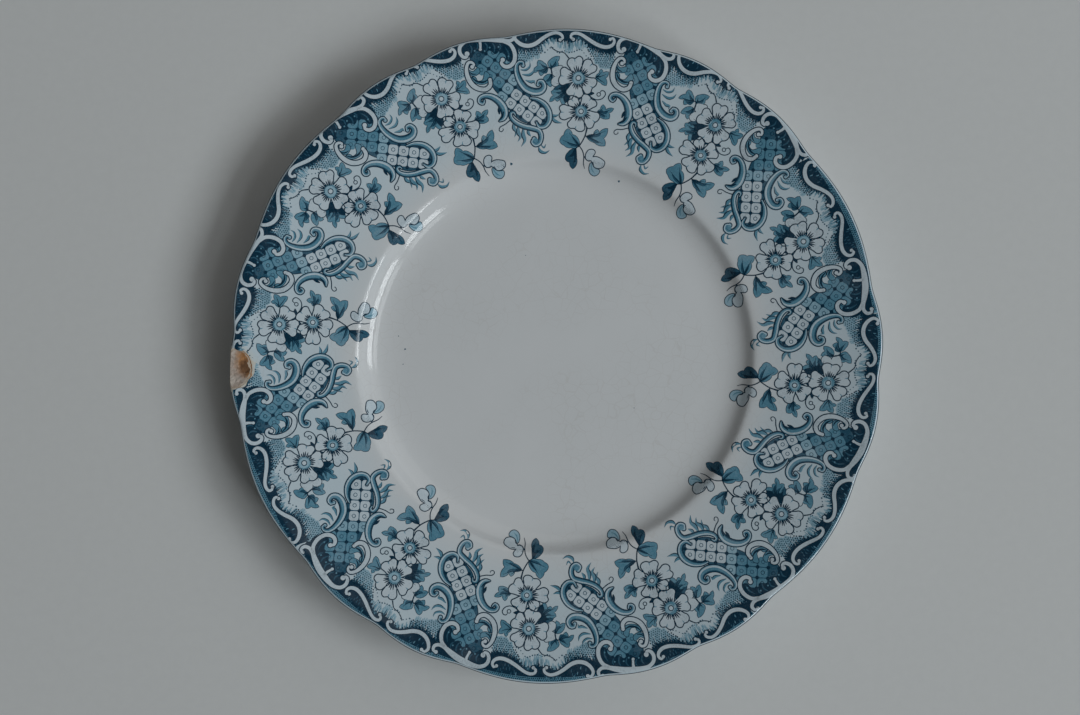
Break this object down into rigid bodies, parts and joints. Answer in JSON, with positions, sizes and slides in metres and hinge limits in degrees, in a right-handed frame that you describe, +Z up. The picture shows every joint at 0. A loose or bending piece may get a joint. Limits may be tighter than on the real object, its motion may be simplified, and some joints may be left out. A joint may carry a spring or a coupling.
{
  "type": "dinner plate",
  "caption": "Round china dinner plate with a flat well, a broad scalloped rim carrying a blue printed border under the glaze, a foot ring and one old chip in the lip.",
  "frame": {"origin": "centre of the plate on the plane of its foot ring, which is the table plane", "axes": "+Z up through the eating face, along the plate's axis; +Y is the top of the plate as it is pictured, with the chipped edge towards -X"},
  "size_m": [0.2545, 0.255, 0.0226],
  "materials": {
    "biscuit": "fired off-white earthenware, matt and slightly rough, seen on the bare foot ring and, stained brown, in the chip",
    "glaze": "glossy off-white lead glaze with faint ripple and fine wear scratches",
    "print": "grey-blue transfer print under glossy glaze, from pale wash to deep ink"
  },
  "bodies": {
    "root": {"biscuit_body": "biscuit", "face_glaze": "glaze", "back_glaze": "glaze", "foot_recess_glaze": "glaze", "border_transfer_1": "print", "border_transfer_2": "print", "border_transfer_3": "print", "border_transfer_4": "print"}
  },
  "joints": []
}
